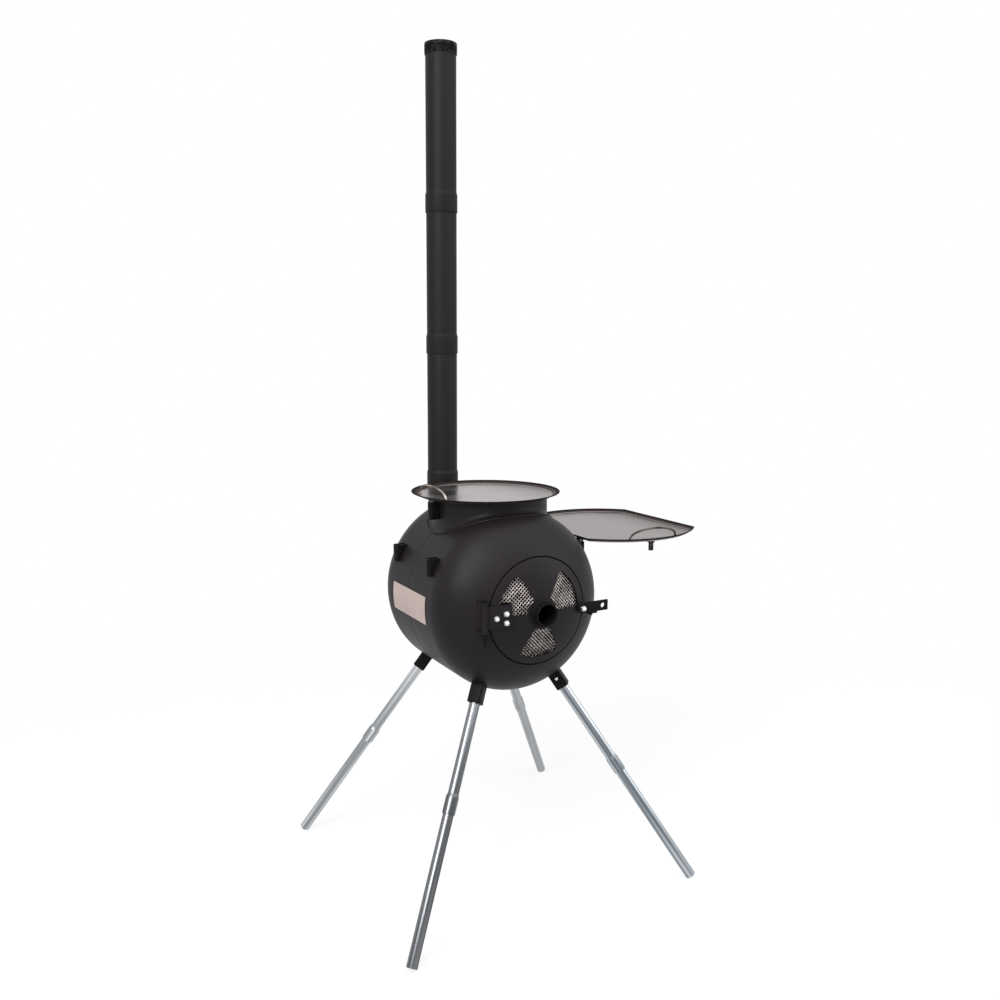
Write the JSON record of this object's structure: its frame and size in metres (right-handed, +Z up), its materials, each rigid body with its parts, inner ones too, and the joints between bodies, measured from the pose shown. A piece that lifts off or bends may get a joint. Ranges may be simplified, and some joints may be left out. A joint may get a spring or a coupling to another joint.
{
  "type": "tent wood stove",
  "caption": "Rounded steel wood stove for a tent on splayed take-apart legs, with a collar-mounted cook plate, a side plate, a hinged door with mesh windows and a sectional flue.",
  "frame": {"origin": "on the floor, under the middle of the bounding box", "axes": "+X towards the side plate, -Y towards the door, +Y towards the flue, +Z up"},
  "size_m": [0.7296, 0.578, 1.6342],
  "materials": {
    "stove_black": "matte heat-resistant black",
    "bare_steel": "smooth rolled sheet, heat-browned at the rims",
    "wire_steel": "drawn wire, dull",
    "zinc_plate": "bright zinc plating",
    "blank_plate": "pale, plain"
  },
  "bodies": {
    "stove": {"front_shell": "stove_black", "rear_shell": "stove_black", "seam_backing_ring": "stove_black", "cooking_collar": "stove_black", "flue_socket": "stove_black", "flue_base_plate": "stove_black", "strap_collar": "stove_black", "strap_right_front": "stove_black", "strap_right_rear": "stove_black", "strap_left_front": "stove_black", "strap_left_rear": "stove_black", "door_stop_ring": "stove_black", "hinge_bracket": "stove_black", "hinge_pin": "stove_black", "latch_ledge": "stove_black", "fire_grate": "stove_black", "blank_plate": "blank_plate", "leg_socket_front_left": "stove_black", "leg_socket_front_right": "stove_black", "leg_socket_rear_left": "stove_black", "leg_socket_rear_right": "stove_black", "leg_screw_front_left": "zinc_plate", "leg_screw_front_right": "zinc_plate", "leg_screw_rear_left": "zinc_plate", "leg_screw_rear_right": "zinc_plate"},
    "door": {"door_panel": "stove_black", "window_screen_1": "wire_steel", "window_screen_2": "wire_steel", "window_screen_3": "wire_steel", "air_tube": "stove_black", "air_tube_ring_nut": "stove_black", "hinge_leaf": "stove_black", "hinge_bolt_1": "zinc_plate", "hinge_bolt_2": "zinc_plate", "hinge_bolt_3": "zinc_plate", "latch_spacer": "stove_black", "latch_bolt": "zinc_plate"},
    "latch": {"latch_bar": "stove_black"},
    "cooking_plate": {"cook_plate": "bare_steel", "cook_plate_handle": "wire_steel", "cook_plate_peg": "zinc_plate"},
    "shelf_plate": {"side_plate": "bare_steel", "side_plate_handle": "wire_steel", "side_plate_peg_front": "zinc_plate", "side_plate_peg_rear": "zinc_plate", "side_plate_peg_spare": "zinc_plate"},
    "pipe_lower": {"chimney_lower": "stove_black"},
    "pipe_middle": {"chimney_middle": "stove_black"},
    "pipe_upper": {"chimney_upper": "stove_black"},
    "spark_arrestor": {"spark_arrestor_cap": "stove_black", "spark_arrestor_mesh": "wire_steel"},
    "upper_leg_front_left": {"leg_upper_front_left": "zinc_plate"},
    "lower_leg_front_left": {"leg_lower_front_left": "zinc_plate"},
    "upper_leg_front_right": {"leg_upper_front_right": "zinc_plate"},
    "lower_leg_front_right": {"leg_lower_front_right": "zinc_plate"},
    "upper_leg_rear_left": {"leg_upper_rear_left": "zinc_plate"},
    "lower_leg_rear_left": {"leg_lower_rear_left": "zinc_plate"},
    "upper_leg_rear_right": {"leg_upper_rear_right": "zinc_plate"},
    "lower_leg_rear_right": {"leg_lower_rear_right": "zinc_plate"}
  },
  "joints": [
    {"name": "door_swing", "type": "hinge", "parent": "stove", "child": "door", "pos_m": [-0.16517, -0.184, 0.562], "axis": [0, 0, -1], "range_deg": [0, 110]},
    {"name": "latch_swing", "type": "hinge", "parent": "door", "child": "latch", "pos_m": [0.03833, -0.1905, 0.5575], "axis": [0, -1, 0], "range_deg": [0, 90]},
    {"name": "cook_plate_lift", "type": "slide", "parent": "stove", "child": "cooking_plate", "axis": [0, 0, 1], "range_m": [0, 0.12]},
    {"name": "side_plate_lift", "type": "slide", "parent": "stove", "child": "shelf_plate", "axis": [0, 0, 1], "range_m": [0, 0.08]},
    {"name": "pipe_lower_lift", "type": "slide", "parent": "stove", "child": "pipe_lower", "axis": [0, 0, 1], "range_m": [0, 0.06]},
    {"name": "pipe_middle_lift", "type": "slide", "parent": "pipe_lower", "child": "pipe_middle", "axis": [0, 0, 1], "range_m": [0, 0.06]},
    {"name": "pipe_upper_lift", "type": "slide", "parent": "pipe_middle", "child": "pipe_upper", "axis": [0, 0, 1], "range_m": [0, 0.06]},
    {"name": "spark_arrestor_lift", "type": "slide", "parent": "pipe_upper", "child": "spark_arrestor", "axis": [0, 0, 1], "range_m": [0, 0.04]},
    {"name": "leg_pull_front_left", "type": "slide", "parent": "stove", "child": "upper_leg_front_left", "axis": [-0.4471, -0.3448, -0.8253], "range_m": [0, 0.05]},
    {"name": "lower_leg_pull_front_left", "type": "slide", "parent": "upper_leg_front_left", "child": "lower_leg_front_left", "axis": [-0.4471, -0.3448, -0.8253], "range_m": [0, 0.04]},
    {"name": "leg_pull_front_right", "type": "slide", "parent": "stove", "child": "upper_leg_front_right", "axis": [0.4471, -0.3448, -0.8253], "range_m": [0, 0.05]},
    {"name": "lower_leg_pull_front_right", "type": "slide", "parent": "upper_leg_front_right", "child": "lower_leg_front_right", "axis": [0.4471, -0.3448, -0.8253], "range_m": [0, 0.04]},
    {"name": "leg_pull_rear_left", "type": "slide", "parent": "stove", "child": "upper_leg_rear_left", "axis": [-0.4471, 0.3448, -0.8253], "range_m": [0, 0.05]},
    {"name": "lower_leg_pull_rear_left", "type": "slide", "parent": "upper_leg_rear_left", "child": "lower_leg_rear_left", "axis": [-0.4471, 0.3448, -0.8253], "range_m": [0, 0.04]},
    {"name": "leg_pull_rear_right", "type": "slide", "parent": "stove", "child": "upper_leg_rear_right", "axis": [0.4471, 0.3448, -0.8253], "range_m": [0, 0.05]},
    {"name": "lower_leg_pull_rear_right", "type": "slide", "parent": "upper_leg_rear_right", "child": "lower_leg_rear_right", "axis": [0.4471, 0.3448, -0.8253], "range_m": [0, 0.04]}
  ]
}
